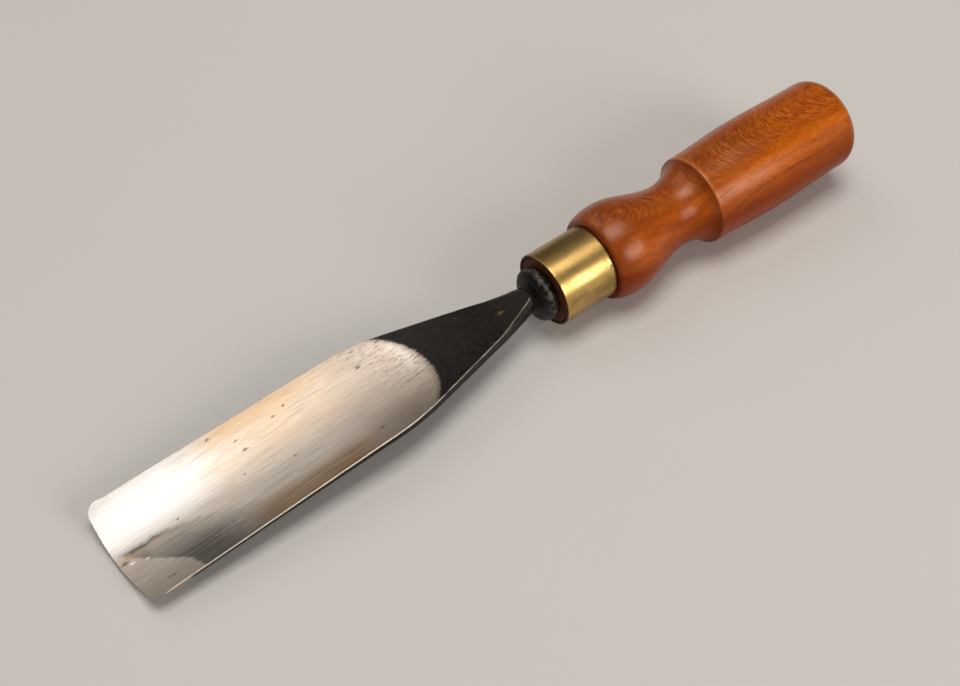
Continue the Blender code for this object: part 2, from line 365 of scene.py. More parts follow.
def belly(x, y):
    """Height of the convex underside, an arc from wall to wall through the belly line."""
    shank = BELLY_Z + BELLY_SLOPE * (x - SHANK_ROOT_X)
    blade = BLADE_BELLY_Z + BLADE_BELLY_SLOPE * (x - BLADE_TOP_X)
    low = smaller_of(shank, blade, TOP_BLEND)
    rise = max(side_top(x) - side_wall(x) - low, 0.0001)
    half = half_width(x)
    radius = (half * half + rise * rise) / (2 * rise)
    return low + radius - math.sqrt(radius * radius - y * y)


def edge_x(across):
    """X of the cutting edge: slightly bowed and out of square, with rounded corners."""
    half = half_width(TIP_X)
    over = max(abs(across) * half - (half - CORNER_RADIUS), 0.0)
    corner = CORNER_RADIUS - math.sqrt(max(CORNER_RADIUS**2 - over * over, 0.0))
    return TIP_X + EDGE_SKEW * across - EDGE_BOW * across * across - corner


def bevel_length(across):
    """Length of the bevel, from the cutting edge back to its heel."""
    x = edge_x(across) - 0.5 * (TIP_X - HEEL_X)
    y = across * half_width(x)
    return (top_surface(x, y) - belly(x, y) - EDGE_LAND) / math.tan(BEVEL_ANGLE)


def shares_across():
    """Places across the blade, closer together round the corners of the tip."""
    inner = 1 - CORNER_RADIUS / half_width(TIP_X)
    steps = range(1, TIP_CORNER_STEPS + 1)
    corner = [
        inner + (1 - inner) * math.sin(0.5 * math.pi * i / TIP_CORNER_STEPS) for i in steps
    ]
    middle = [inner * (2 * i / ACROSS_BLADE - 1) for i in range(ACROSS_BLADE + 1)]
    return [-share for share in reversed(corner)] + middle + corner


SHARES = shares_across()


def corner_arc(x, across, surface, half, wall):
    """Points over one broken corner, from the top's edge to the head of the side wall."""
    root = root_share(x)
    fine = CORNER_BREAK * min(wall / (4 * CORNER_BREAK), 1.0)
    width = fine + ROOT_CHAMFER_WIDTH * root
    drop = fine + ROOT_CHAMFER_DROP * root
    bulge = CORNER_BULGE * fine / CORNER_BREAK
    slant = math.hypot(width, drop)
    points = []
    for i in range(CORNER_POINTS + 1):
        t = i / CORNER_POINTS
        swell = bulge * 4 * t * (1 - t)
        y = half - width * (1 - t) + swell * drop / slant
        z = surface - drop * t + swell * width / slant
        points.append((x, across * min(y, half), z))
    return points


def blade_ring(place_x, bevel_behind=None):
    """One loop of points round the blade: the top, the near side, the belly and the far side.

    place_x gives X at a share across. bevel_behind gives the distance there behind the edge, or
    None where the bevel doesn't reach.
    """
    top, under, sides = [], [], {}
    for share in SHARES:
        x = place_x(share)
        half = half_width(x)
        surface = top_surface(x, share * half)
        floor = belly(x, share * half)
        if bevel_behind is not None:
            bevel = bevel_behind(share) * math.tan(BEVEL_ANGLE)
            floor = max(floor, surface - EDGE_LAND - bevel)
        arc = corner_arc(x, share, surface, half, surface - floor)
        if abs(share) == 1:
            low = arc[-1][2]
            steps = range(1, WALL_POINTS)
            wall = [(x, share * half, low + (floor - low) * i / WALL_POINTS) for i in steps]
            sides[share] = arc[1:] + wall
        top.append((x, arc[0][1], surface))
        under.append((x, share * half, floor))
    return top + sides[1] + under[::-1] + sides[-1][::-1]


def station_x(across, part):
    """X of a station: straight across on the shank, bowed like the cutting edge at the heel."""
    straight = SHANK_START_X + part * (HEEL_X - SHANK_START_X)
    heel = edge_x(across) - bevel_length(across)
    return straight + (heel - HEEL_X) * part**HEEL_BOW_POWER


def widened(ring, radius, blend):
    """The ring pushed out from the axis to a circle, wherever it lies inside that circle."""
    points = []
    for x, y, z in ring:
        reach = math.hypot(y, z)
        grow = larger_of(reach, radius, blend) / reach
        points.append((x, y * grow, z * grow))
    return points


def bolster_rings():
    """The forged collar, and the fillet that runs from it into the shank."""
    seat = (BOLSTER_SEAT_X, BOLSTER_SEAT_RADIUS)
    rim = (BOLSTER_RIM_X, BOLSTER_RADIUS)
    face = (BOLSTER_FACE_X, BOLSTER_FACE_RADIUS)
    end = (FILLET_END_X, FILLET_END_RADIUS)
    profile = [seat]
    profile += quarter_curve(seat, rim, steps=10, leaves_along_axis=False)
    profile += quarter_curve(rim, face, steps=20, leaves_along_axis=True)
    profile += quarter_curve(face, end, steps=20, leaves_along_axis=False)
    return [
        widened(blade_ring(lambda across: x), radius, FORGED_BLEND) for x, radius in profile
    ]


def tang_ring(x, pattern):
    """A square loop whose points lie in the same directions as the pattern's."""
    slope = (TANG_ROOT_SIDE - TANG_END_SIDE) / TANG_LENGTH
    half = (TANG_ROOT_SIDE + slope * x) / 2
    points = []
    for _, y, z in pattern:
        shrink = half / max(abs(y), abs(z))
        points.append((x, y * shrink, z * shrink))
    return points


def tang_rings(pattern):
    steps = 16
    start, end = -TANG_LENGTH, BOLSTER_SEAT_X
    return [tang_ring(start + (end - start) * i / steps, pattern) for i in range(steps + 1)]


def shank_and_blade_rings():
    first = (FILLET_END_X - SHANK_START_X) / (HEEL_X - SHANK_START_X)
    rings = []
    for i in range(1, BLADE_STATIONS + 1):
        part = first + (1 - first) * i / BLADE_STATIONS
        rings.append(blade_ring(lambda across: station_x(across, part)))
    for i in range(1, BEVEL_RINGS + 1):
        left = 1 - i / BEVEL_RINGS

        def behind(across):
            return bevel_length(across) * left

        rings.append(blade_ring(lambda across: edge_x(across) - behind(across), behind))
    return rings


def close_cutting_edge(form, loop):
    """Fills the narrow land at the tip, between the top's last row and the bevel's."""
    wide = len(SHARES)
    side = (len(loop) - 2 * wide) // 2
    top = loop[:wide]
    near = loop[wide : wide + side]
    under = loop[wide + side : 2 * wide + side][::-1]
    far = loop[2 * wide + side :][::-1]
    form.faces.new([top[1], top[0]] + far + [under[0], under[1]])
    for i in range(1, wide - 2):
        form.faces.new((top[i + 1], top[i], under[i], under[i + 1]))
    form.faces.new([top[-1], top[-2], under[-2], under[-1]] + near[::-1])


def mark_arris(form, loops):
    """Stores how worn each point is: 1 along the top's two side edges, 0 elsewhere."""
    layer = form.verts.layers.float["arris"]
    wide = len(SHARES)
    for loop in loops:
        x = loop[0].co.x
        if x < SHANK_ROOT_X:
            continue
        chamfer = ease(2 * root_share(x))
        for i in range(CORNER_POINTS + 1):
            worn = 1 - chamfer * (0.25 if i < 2 else 0.75)
            loop[wide - 1 + i][layer] = worn
            loop[-i][layer] = worn * 0.75


def forge(form):
    """Hammered unevenness on the bolster and the shank."""
    form.normal_update()
    moves = []
    for vert in form.verts:
        x = vert.co.x
        on_collar = ease((x - BOLSTER_SEAT_X) / 0.001) * (1 - ease((x - 0.008) / 0.006))
        on_shank = ease((x - 0.009) / 0.004) * (1 - ease((x - 0.04) / 0.02))
        depth = COLLAR_DENTS * on_collar + SHANK_DENTS * on_shank
        if depth > 0:
            dents = noise.noise(vert.co * 330) + 0.5 * noise.noise(vert.co * 800)
            moves.append((vert, vert.normal * depth * (dents - 0.5)))
    for vert, move in moves:
        vert.co += move


def make_blade(pose):
    form = bmesh.new()
    form.verts.layers.float.new("arris")
    bolster = bolster_rings()
    rings = tang_rings(blade_ring(lambda across: SHANK_ROOT_X)) + bolster
    rings += shank_and_blade_rings()
    loops = skin_rings(form, rings)
    mark_arris(form, loops)
    fill_with_fan(form, loops[0])
    close_cutting_edge(form, loops[-1])
    forge(form)
    steel = forged_steel(pose)
    return finish_piece("forged_blade", form, pose, steel, 16, "gouge_blade")


# ---------------------------------------------------------------- ferrule


def arc_points(centre, radius, start, end, steps):
    """(x, radius) points of an arc, from one angle to another, in degrees from +X."""
    points = []
    for i in range(steps + 1):
        angle = math.radians(start + (end - start) * i / steps)
        points.append((centre[0] + radius * math.cos(angle), centre[1] + radius * math.sin(angle)))
    return points


def ferrule_section(length, radius):
    """The tube's wall in section: rounded outer rims, smaller breaks inside."""
    edge = FERRULE_EDGE
    inner = radius - FERRULE_WALL
    steps = 36
    points = arc_points((-edge, radius - edge), edge, 0, 90, 6)
    for i in range(1, steps):
        points.append((-edge - (length - 2 * edge) * i / steps, radius))
    points += arc_points((edge - length, radius - edge), edge, 90, 180, 6)
    points += arc_points((edge - length, inner + edge), edge, 180, 270, 6)
    points += arc_points((-edge, inner + edge), edge, 270, 360, 6)
    return points


def dent_ferrule(form, radius):
    """Faint unevenness, and two small knocks on the near side: X, degrees round and size."""
    knocks = ((-0.0128, 17, 0.0008), (-0.0056, 25, 0.0006))
    for vert in form.verts:
        out = Vector((0, vert.co.y, vert.co.z))
        if out.length < radius - FERRULE_WALL / 2:
            continue
        depth = FERRULE_WEAR * (1 + noise.noise(vert.co * 160))
        for x, angle, size in knocks:
            turn = math.radians(angle)
            place = Vector((x, radius * math.cos(turn), radius * math.sin(turn)))
            depth += KNOCK_DEPTH * math.exp(-(((vert.co - place).length / size) ** 2))
        vert.co -= out.normalized() * depth


def make_ferrule(pose, length, radius):
    form = bmesh.new()
    section = ferrule_section(length, radius)
    rings = [turned_ring(x, r, FERRULE_SEGMENTS) for x, r in section]
    loops = skin_rings(form, rings)
    for i in range(FERRULE_SEGMENTS):
        j = (i + 1) % FERRULE_SEGMENTS
        form.faces.new((loops[-1][i], loops[-1][j], loops[0][j], loops[0][i]))
    dent_ferrule(form, radius)
    brass = aged_brass(pose)
    return finish_piece("brass_ferrule", form, pose, brass, 30, "ferrule")


# ---------------------------------------------------------------- handle


def butt_profile(butt_x):
    """A rounded corner that runs into a slightly domed end with a small flat."""
    whole_turn = 0.5 * math.pi - BUTT_SLOPE
    edge_radius = BARREL_END_RADIUS - BUTT_CORNER * (1 - math.cos(whole_turn))
    dome = (edge_radius - BUTT_FLAT_RADIUS) * math.tan(BUTT_SLOPE)
    start_x = butt_x + dome + BUTT_CORNER * math.sin(whole_turn)
    steps = 24
    points = []
    for i in range(steps + 1):
        turn = whole_turn * i / steps
        radius = BARREL_END_RADIUS - BUTT_CORNER * (1 - math.cos(turn))
        points.append((start_x - BUTT_CORNER * math.sin(turn), radius))
    for share in (0.2, 0.4, 0.6):
        radius = edge_radius + (BUTT_FLAT_RADIUS - edge_radius) * share
        points.append((butt_x + dome * (1 - share), radius))
    points += [(butt_x, BUTT_FLAT_RADIUS * share) for share in (1.0, 0.6, 0.3, 0.05)]
    return round_corner(points, len(points) - 4, 0.0022)


def handle_profile(butt_x, shoulder_x, seat_radius):
    """(x, radius) points from the nose to the butt."""
    step = (shoulder_x, SHOULDER_FACE_RADIUS)
    butt = butt_profile(butt_x)
    points = [(0.0, seat_radius - NOSE_CORNER), (-NOSE_CORNER, seat_radius)]
    points += [(shoulder_x, seat_radius), step]
    step_index = len(points) - 1
    points += quarter_curve(step, BULB, steps=22, leaves_along_axis=False)
    points += curve_between(BULB, NECK, steps=34)
    points += quarter_curve(NECK, RIDGE, steps=26, leaves_along_axis=True, sweep=COVE_SWEEP)
    ridge_index = len(points) - 1
    points += curve_between(RIDGE, BARREL, steps=24)
    points += curve_between(BARREL, butt[0], steps=26)
    points += butt[1:]
    points = round_corner(points, ridge_index, RIDGE_ROUNDING)
    return round_corner(points, step_index, 0.0003)


def square_ring(x, half):
    """A square loop with as many points as the handle's rings, in the same directions."""
    points = []
    for _, y, z in turned_ring(x, 1.0, HANDLE_SEGMENTS):
        shrink = half / max(abs(y), abs(z))
        points.append((x, y * shrink, z * shrink))
    return points


def nose_rings(seat_radius):
    """From the bottom of the tang's hole, out of its mouth and over the nose's face."""
    slope = (TANG_ROOT_SIDE - TANG_END_SIDE) / TANG_LENGTH
    bottom = -TANG_LENGTH - GAP
    steps_out, steps_over = 12, 10
    rings = []
    for i in range(steps_out + 1):
        x = bottom * (1 - i / steps_out)
        rings.append(square_ring(x, (TANG_ROOT_SIDE + slope * x) / 2 + GAP))
    mouth = rings[-1]
    rim = turned_ring(0.0, seat_radius - NOSE_CORNER, HANDLE_SEGMENTS)
    for i in range(1, steps_over):
        share = i / steps_over
        rings.append([Vector(a).lerp(Vector(b), share) for a, b in zip(mouth, rim)])
    return rings


def make_handle(pose, butt_x, shoulder_x, seat_radius):
    form = bmesh.new()
    profile = handle_profile(butt_x, shoulder_x, seat_radius)
    outside = [turned_ring(x, radius, HANDLE_SEGMENTS) for x, radius in profile]
    loops = skin_rings(form, nose_rings(seat_radius) + outside)
    fill_with_fan(form, loops[0])
    fill_with_fan(form, loops[-1])
    wood = fruitwood(pose)
    return finish_piece("turned_handle", form, pose, wood, 24, "handle")


# ---------------------------------------------------------------- materials


class Graph:
    """Short ways to add nodes to one material. Its point is in millimetres in the tool's frame."""

    def __init__(self, name, pose=None):
        self.material = bpy.data.materials.new(name)
        self.material.use_nodes = True
        self.tree = self.material.node_tree
        self.shader = self.tree.nodes["Principled BSDF"]
        place = self.tree.nodes.new("ShaderNodeTexCoord")
        to_tool = (pose or Matrix()).inverted()
        self.point = self.turned(place.outputs["Object"], to_tool, 1000)
        self.x, self.y, self.z = self.split(self.point)
        facing = self.turned(place.outputs["Normal"], to_tool.to_3x3().to_4x4(), 1)
        self.normal_x, self.normal_y, self.normal_z = self.split(facing)

    def feed(self, socket, value):
        """Links a socket to another node's output, or sets it to a constant."""
        if isinstance(value, bpy.types.NodeSocket):
            self.tree.links.new(value, socket)
        elif socket.type == "RGBA":
            socket.default_value = (*value, 1.0)
        else:
            socket.default_value = value

    def turned(self, vector, matrix, scale):
        node = self.tree.nodes.new("ShaderNodeMapping")
        self.feed(node.inputs["Vector"], vector)
        node.inputs["Location"].default_value = matrix.to_translation() * scale
        node.inputs["Rotation"].default_value = matrix.to_euler()
        node.inputs["Scale"].default_value = (scale, scale, scale)
        return node.outputs[0]

    def split(self, vector):
        node = self.tree.nodes.new("ShaderNodeSeparateXYZ")
        self.feed(node.inputs[0], vector)
        return node.outputs

    def joined(self, x, y, z):
        node = self.tree.nodes.new("ShaderNodeCombineXYZ")
        for socket, value in zip(node.inputs, (x, y, z)):
            self.feed(socket, value)
        return node.outputs[0]

    def scaled(self, vector, scale):
        node = self.tree.nodes.new("ShaderNodeVectorMath")
        node.operation = "MULTIPLY"
        self.feed(node.inputs[0], vector)
        node.inputs[1].default_value = scale
        return node.outputs[0]

    def math(self, operation, *values):
        node = self.tree.nodes.new("ShaderNodeMath")
        node.operation = operation
        for socket, value in zip(node.inputs, values):
            self.feed(socket, value)
        return node.outputs[0]

    def product(self, first, *others):
        for other in others:
            first = self.math("MULTIPLY", first, other)
        return first

    def between(self, value, low, high, to_low=0.0, to_high=1.0):
        """A smooth step of value, from to_low at low to to_high at high."""
        node = self.tree.nodes.new("ShaderNodeMapRange")
        node.interpolation_type = "SMOOTHSTEP"
        for name, number in (
            ("Value", value),
            ("From Min", low),
            ("From Max", high),
            ("To Min", to_low),
            ("To Max", to_high),
        ):
            self.feed(node.inputs[name], number)
        return node.outputs["Result"]

    def grain(self, scale, detail=2.0, roughness=0.5, point=None, shift=0.0):
        """Noise from 0 to 1, with scale as its frequency along each axis, per millimetre."""
        node = self.tree.nodes.new("ShaderNodeTexNoise")
        vector = self.scaled(self.point if point is None else point, scale)
        node.noise_dimensions = "4D"
        self.feed(node.inputs["Vector"], vector)
        node.inputs["W"].default_value = shift
        node.inputs["Scale"].default_value = 1.0
        node.inputs["Detail"].default_value = detail
        node.inputs["Roughness"].default_value = roughness
        return node.outputs["Fac"]

    def spots(self, scale, shift=0.0):
        """Distance to the nearest of many scattered places, in cells."""
        node = self.tree.nodes.new("ShaderNodeTexVoronoi")
        node.voronoi_dimensions = "4D"
        self.feed(node.inputs["Vector"], self.scaled(self.point, scale))
        node.inputs["W"].default_value = shift
        node.inputs["Scale"].default_value = 1.0
        return node.outputs["Distance"]

    def mix(self, factor, a, b):
        """Colour a, turning into colour b as factor goes from 0 to 1."""
        node = self.tree.nodes.new("ShaderNodeMix")
        node.data_type = "RGBA"
        sockets = {socket.identifier: socket for socket in node.inputs}
        self.feed(sockets["Factor_Float"], factor)
        self.feed(sockets["A_Color"], a)
        self.feed(sockets["B_Color"], b)
        return {socket.identifier: socket for socket in node.outputs}["Result_Color"]

    def blend(self, factor, a, b):
        """Number a, turning into number b as factor goes from 0 to 1."""
        node = self.tree.nodes.new("ShaderNodeMix")
        sockets = {socket.identifier: socket for socket in node.inputs}
        self.feed(sockets["Factor_Float"], factor)
        self.feed(sockets["A_Float"], a)
        self.feed(sockets["B_Float"], b)
        return {socket.identifier: socket for socket in node.outputs}["Result_Float"]

    def distance_to(self, x, y):
        """Distance from a place on the blade seen from above, with a ragged edge."""
        wobble = self.math("MULTIPLY_ADD", self.grain((1.0, 1.6, 1.6), 3, 0.6), 1.6, -0.8)
        aside = self.math("POWER", self.math("ADD", self.y, -y), 2.0)
        ahead = self.math("POWER", self.math("MULTIPLY", self.math("ADD", self.x, -x), 0.5), 2.0)
        return self.math("ADD", self.math("SQRT", self.math("ADD", aside, ahead)), wobble)

    def attribute(self, name):
        node = self.tree.nodes.new("ShaderNodeAttribute")
        node.attribute_name = name
        return node.outputs["Fac"]

    def bump(self, height, distance, strength=1.0, under=None):
        """A bump whose full height is distance, in metres, over another bump if there is one."""
        node = self.tree.nodes.new("ShaderNodeBump")
        node.inputs["Strength"].default_value = strength
        node.inputs["Distance"].default_value = distance
        self.feed(node.inputs["Height"], height)
        if under is not None:
            self.feed(node.inputs["Normal"], under)
        return node.outputs["Normal"]

    def set(self, **values):
        """Feeds the shader's sockets, whose names have spaces for underscores."""
        for name, value in values.items():
            self.feed(self.shader.inputs[name.replace("_", " ")], value)


def polish_mask(g):
    """1 on polished and ground steel, 0 on forge scale; and the distance in from the border."""
    inner = g.math("SUBTRACT", POLISH_ARC_RADIUS**2, g.math("MULTIPLY", g.y, g.y))
    arc = g.math("SUBTRACT", POLISH_ARC_X, g.math("SQRT", g.math("MAXIMUM", inner, 0.0)))
    ragged = g.grain((0.22, 1.7, 0.7), 4, 0.6)
    wobble = g.math("MULTIPLY_ADD", ragged, 3.0, -1.5)
    ahead = g.math("MULTIPLY_ADD", g.y, POLISH_SLANT, g.math("SUBTRACT", g.x, arc))
    inside = g.math("ADD", wobble, ahead)
    top = g.between(inside, -0.6, 0.9)
    under = g.between(g.math("MULTIPLY_ADD", ragged, 3.0, g.x), 152.5, 154.5)
    return g.blend(g.between(g.normal_z, 0.1, 0.4), under, top), inside


def window(g, value, start, full, fade, end):
    """0 outside start and end, 1 between full and fade."""
    return g.product(g.between(value, start, full), g.between(value, end, fade))


def steel_stains(g, steel):
    """A duller shoulder, gold tarnish along the far side and brown along the near side."""
    cloud = g.grain((0.05, 0.13, 0.13), 3, 0.6, shift=2.0)
    streak = g.grain((0.03, 1.5, 0.5), 3, 0.65, shift=5.0)
    darker = g.product(g.between(g.x, 98.0, 74.0), g.between(cloud, 0.3, 0.7, 0.36, 0.54))
    steel = g.mix(darker, steel, (0.36, 0.28, 0.225))
    clean = g.product(g.between(g.x, 60.0, 52.0), g.between(g.y, 4.0, -6.0))
    steel = g.mix(g.product(clean, 0.50), steel, (0.72, 0.67, 0.62))
    gold = g.product(
        g.between(g.y, 6.0, -13.0),
        window(g, g.x, 66.0, 94.0, 112.0, 142.0),
        g.between(streak, 0.2, 0.6, 0.55, 1.0),
        g.between(cloud, 0.30, 0.60, 0.45, 1.0),
    )
    steel = g.mix(g.product(gold, 0.9), steel, (0.545, 0.405, 0.275))
    rim = g.product(g.between(g.y, -13.0, -18.0), window(g, g.x, 78.0, 92.0, 116.0, 132.0))
    steel = g.mix(g.product(rim, 0.42), steel, (0.50, 0.36, 0.21))
    brown = g.product(
        g.between(g.y, 8.0, 15.5),
        window(g, g.x, 70.0, 90.0, 118.0, 134.0),
        g.between(streak, 0.30, 0.62, 0.35, 0.95),
    )
    steel = g.mix(brown, steel, (0.28, 0.175, 0.092))
    edge = g.product(g.between(g.y, 3.0, 12.0), g.between(g.x, 84.0, 64.0))
    return g.mix(g.product(edge, 0.60), steel, (0.235, 0.19, 0.15))


def tip_dark_reflection(g, steel):
    """A painted dark reflection near the tip: a sharp edge towards the near corner, fading the
    other way.

    It is deepest at the near side, and a lighter painted reflection, a dark line and a tan band
    border it.
    The second result is how dark it is.
    """
    wobble = g.math("SUBTRACT", g.grain((0.45, 0.45, 0.45), 4, 0.6, shift=8.0), 0.5)
    steep = g.math("MULTIPLY_ADD", g.y, -1.1, 163.6)
    shallow = g.math("MULTIPLY_ADD", g.y, -0.25, 152.2)
    border = g.math("SMOOTH_MAX", steep, shallow, 1.5)
    inside = g.math("SUBTRACT", g.math("MULTIPLY_ADD", wobble, 3.0, border), g.x)
    sharp = g.between(inside, -0.8, 1.4)
    slant = g.math("MULTIPLY_ADD", g.y, 0.7, g.x)
    back = g.between(g.math("MULTIPLY_ADD", wobble, 10.0, slant), 124.8, 150.8)
    rise = g.math("MAXIMUM", g.math("MULTIPLY_ADD", g.x, -0.30, 45.6), 0.0)
    side = g.math("ADD", g.math("SUBTRACT", g.y, rise), g.math("MULTIPLY", wobble, 2.0))
    upper = g.between(side, -3.2, -1.1)
    depth = g.between(g.y, 2.0, 13.0, 0.50, 0.95)
    depth = g.math("MAXIMUM", depth, g.between(g.x, 150.0, 160.0, 0.0, 0.72))
    streak = g.grain((0.035, 1.9, 0.5), 3, 0.65, shift=9.0)
    # The painted dark reflection, streaked along the blade.
    dark_reflection = g.product(sharp, back, upper, depth, g.between(streak, 0.25, 0.62, 0.70, 1.0))

    # A lighter painted reflection just outside its sharp edge.
    pale_reflection = g.product(upper, g.between(inside, 0.3, -1.0))
    steel = g.mix(g.product(pale_reflection, 0.26), steel, (0.33, 0.25, 0.19))
    steel = g.mix(dark_reflection, steel, (0.080, 0.074, 0.070))
    line = g.product(
        window(g, g.math("MULTIPLY_ADD", wobble, 2.0, g.y), -1.7, -1.2, -0.7, -0.2),
        window(g, g.x, 147.0, 154.0, 161.6, 162.8),
    )
    steel = g.mix(g.product(line, 0.60), steel, (0.075, 0.072, 0.072))
    band = g.product(
        sharp,
        window(g, g.math("MULTIPLY_ADD", wobble, 2.5, g.y), -0.8, 0.1, 0.8, 1.9),
        g.between(g.math("MULTIPLY_ADD", wobble, 8.0, g.x), 141.0, 156.0),
        g.between(streak, 0.32, 0.60, 0.35, 1.0),
    )
    steel = g.mix(g.product(band, 0.48), steel, (0.44, 0.33, 0.22))
    yellow = g.between(g.distance_to(163.4, -0.1), 1.1, 0.3)
    return g.mix(g.product(yellow, 0.6), steel, (0.40, 0.27, 0.06)), dark_reflection


def polished_steel(g, inside, hair, fine):
    """Scratched, stained and pitted steel; where its pits are; and how dark its painted reflection
    is.
    """
    broad = g.grain((0.02, 0.8, 0.4), 3, 0.6, shift=3.0)
    steel = g.mix(g.between(broad, 0.3, 0.7), (0.56, 0.525, 0.48), (0.47, 0.435, 0.39))
    steel = g.mix(g.between(fine, 0.40, 0.68, 0.0, 0.62), steel, (0.33, 0.285, 0.23))
    steel = g.mix(g.between(hair, 0.48, 0.68, 0.0, 0.55), steel, (0.30, 0.26, 0.22))
    # Cleaner steel, and a painted highlight, on the far half of the blade towards the tip.
    bright = g.product(g.between(g.x, 94.0, 150.0), g.between(g.y, 1.5, -8.0))
    steel = g.mix(g.product(bright, 0.58), steel, (0.86, 0.855, 0.87))
    steel = steel_stains(g, steel)
    steel, dark_reflection = tip_dark_reflection(g, steel)
    ticks = g.between(g.grain((0.30, 2.6, 1.0), 3, 0.65, shift=4.0), 0.55, 0.63)
    ticks = g.product(ticks, g.between(inside, 24.0, 3.0), g.between(g.y, 12.0, -2.0, 0.35, 1.0))
    steel = g.mix(g.product(ticks, 0.88), steel, (0.085, 0.070, 0.058))
    pits = g.between(g.spots((0.085, 0.12, 0.12), shift=0.3), 0.060, 0.030)
    for x, y, size in PITS:
        pits = g.math("MAXIMUM", pits, g.between(g.distance_to(x, y), size, 0.2 * size))
    steel = g.mix(g.product(pits, 0.66), steel, (0.055, 0.047, 0.042))
    # The chips, painted pale as glints.
    for x, y, size in CHIP_GLINTS:
        chip_glint = g.between(g.distance_to(x, y), size, 0.3 * size)
        steel = g.mix(g.product(chip_glint, 0.7), steel, (0.92, 0.90, 0.87))
    rim = window(g, inside, -0.6, 0.3, 0.9, 2.6)
    return g.mix(g.product(rim, 0.45), steel, (0.14, 0.105, 0.08)), pits, dark_reflection


def forge_scale(g, crust, fine):
    """Black scale with specks of rust, worn through on the bolster and corners, where the
    bolster's rim is also painted lighter as glints; greyer on the belly.
    """
    scale = g.mix(g.between(crust, 0.3, 0.75), (0.005, 0.0042, 0.0036), (0.018, 0.0145, 0.012))
    rust = g.between(g.grain((0.30, 0.34, 0.34), 4, 0.6, shift=7.3), 0.63, 0.71)
    scale = g.mix(g.product(rust, 0.5), scale, (0.085, 0.042, 0.018))
    fleck = g.product(g.between(g.distance_to(18.8, 0.3), 1.0, 0.1), g.between(crust, 0.36, 0.56))
    scale = g.mix(g.product(fleck, 0.85), scale, (0.15, 0.090, 0.035))
    # Metal worn through the scale on the bolster's rim, also painted lighter there as its glints.
    bare_and_glint = g.product(g.between(g.x, 5.2, 3.6), g.between(crust, 0.46, 0.62))
    scale = g.mix(g.product(bare_and_glint, 0.6), scale, (0.19, 0.165, 0.14))
    scale = g.mix(g.product(g.attribute("arris"), 0.60), scale, (0.14, 0.108, 0.082))
    belly = g.product(g.between(g.x, 55.0, 70.0), g.between(g.normal_z, 0.1, -0.2))
    belly = g.product(belly, g.between(fine, 0.3, 0.7, 0.2, 0.9))
    return g.mix(belly, scale, (0.055, 0.045, 0.036))


def forged_steel(pose):
    """One forging: polished trough, black forge scale on shank and bolster, worn corners."""
    g = Graph("forged_steel", pose)
    hair = g.grain((0.07, 9.0, 1.5), 3, 0.7, shift=1.0)
    fine = g.grain((0.09, 3.6, 1.0), 4, 0.7, shift=1.7)
    crust = g.grain((0.5, 0.6, 0.6), 5, 0.65, shift=6.0)
    collar = g.between(g.x, 8.0, 5.5)
    polished, inside = polish_mask(g)
    steel, pits, dark_reflection = polished_steel(g, inside, hair, fine)
    scale = forge_scale(g, crust, fine)

    patchy = g.grain((0.14, 0.9, 0.9), 4, 0.65, shift=11.0)
    on_blade = g.between(g.x, 50.0, 62.0, 0.62, 1.0)
    worn = g.product(g.attribute("arris"), g.between(patchy, 0.30, 0.60, 0.50, 1.0), on_blade)
    worn = g.between(worn, 0.15, 0.85)
    metal = g.math("MAXIMUM", polished, worn)
    colour = g.mix(polished, scale, steel)
    colour = g.mix(worn, colour, (0.62, 0.55, 0.46))

    crust_rough = g.between(crust, 0.3, 0.7, 0.34, 0.56)
    steel_rough = g.math("ADD", g.between(fine, 0.3, 0.7, 0.36, 0.46), g.product(dark_reflection, 0.10))
    rough = g.blend(metal, crust_rough, steel_rough)
    forged = g.bump(g.product(crust, g.blend(collar, 0.35, 1.0)), 0.00018, 0.7)
    brushed = g.bump(hair, 0.00003, 0.16, g.bump(fine, 0.00004, 0.10))
    brushed = g.bump(g.math("SUBTRACT", 1.0, pits), 0.00008, 0.5, brushed)
    g.set(
        Base_Color=colour,
        Specular_IOR_Level=g.blend(collar, 0.18, 0.36),
        Metallic=g.blend(metal, 0.25, 1.0),
        Roughness=rough,
        Anisotropic=0.75,
        Normal=g.mix(polished, forged, brushed),
        Tangent=g.joined(0.0, 1.0, 0.0),
    )
    return g.material


